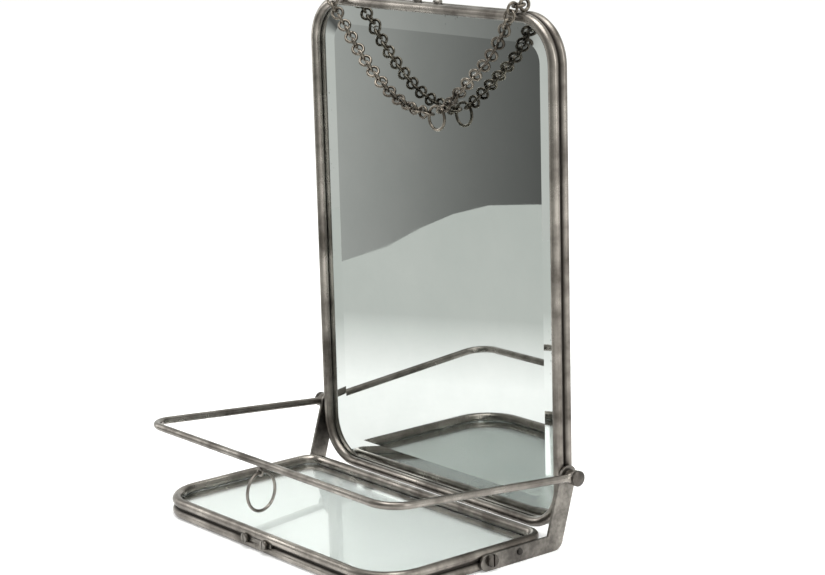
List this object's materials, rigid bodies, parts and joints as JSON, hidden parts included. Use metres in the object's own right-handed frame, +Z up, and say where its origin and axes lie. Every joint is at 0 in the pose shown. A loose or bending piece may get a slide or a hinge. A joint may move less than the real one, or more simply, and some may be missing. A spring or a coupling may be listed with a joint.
{
  "type": "shaving mirror",
  "caption": "Upright shaving mirror in a double-bead metal frame, hinged to a glass shelf with side brackets, a swinging rail and a hanging chain.",
  "frame": {"origin": "on the table surface, in the middle of the object's footprint", "axes": "+X along the mirror's width, -Y towards the front that is looked into, +Z up"},
  "size_m": [0.264, 0.164, 0.3361],
  "materials": {
    "nickel": "aged nickel plate, semi-gloss with darker tarnish",
    "dark_nickel": "dark tarnished nickel",
    "chain_metal": "aged wire, dull",
    "mirror": "silvered glass with a wide ground bevel",
    "clear_glass": "clear plate glass with a faint green tint",
    "gasket": "dark strip",
    "card": "brown board",
    "back_tin": "dark enamel on thin sheet"
  },
  "bodies": {
    "shelf": {"shelf_frame": "nickel", "shelf_glass": "clear_glass", "shelf_gasket": "gasket", "shelf_joint_key": "nickel", "shelf_joint_screws": "nickel", "bracket_left": "nickel", "bracket_right": "nickel", "bracket_screws": "dark_nickel", "bracket_rivets": "dark_nickel"},
    "mirror": {"mirror_frame": "nickel", "mirror_glass": "mirror", "mirror_gasket": "gasket", "backing_card": "card", "back_panel": "back_tin", "panel_tabs": "back_tin", "mirror_joint_key": "nickel", "mirror_joint_screws": "nickel", "chain_eyelets": "chain_metal", "pivot_studs": "dark_nickel"},
    "rail": {"rail_rod": "nickel", "rail_spacers": "dark_nickel"},
    "nut_left": {"knob_left": "dark_nickel"},
    "nut_right": {"knob_right": "dark_nickel"},
    "loose_ring": {"rail_ring": "nickel"},
    "chain": {"chain_left": "chain_metal", "chain_right": "chain_metal"},
    "chain_ring": {"hanging_ring": "chain_metal"}
  },
  "joints": [
    {"name": "mirror_tilt", "type": "hinge", "parent": "shelf", "child": "mirror", "pos_m": [0, 0.07553, 0.0455], "axis": [1, 0, 0], "range_deg": [-13, 75]},
    {"name": "rail_swing", "type": "hinge", "parent": "shelf", "child": "rail", "pos_m": [0, 0.07553, 0.0455], "axis": [-1, 0, 0], "range_deg": [-4.5, 65]},
    {"name": "loose_ring_swing", "type": "hinge", "parent": "rail", "child": "loose_ring", "pos_m": [0, -0.06904, 0.05189], "axis": [1, 0, 0], "range_deg": [-25, 25]},
    {"name": "chain_swing", "type": "hinge", "parent": "mirror", "child": "chain", "pos_m": [0, 0.07553, 0.3316], "axis": [-1, 0, 0], "range_deg": [0, 170]},
    {"name": "chain_ring_swing", "type": "hinge", "parent": "chain", "child": "chain_ring", "pos_m": [0.00966, 0.06433, 0.25964], "axis": [0.9659, 0, 0.2588], "range_deg": [-60, 30]},
    {"name": "left_nut_turn", "type": "hinge", "parent": "mirror", "child": "nut_left", "pos_m": [-0.13, 0.07553, 0.0455], "axis": [1, 0, 0], "range_deg": [0, 270]},
    {"name": "right_nut_turn", "type": "hinge", "parent": "mirror", "child": "nut_right", "pos_m": [0.13, 0.07553, 0.0455], "axis": [1, 0, 0], "range_deg": [0, 270]}
  ]
}
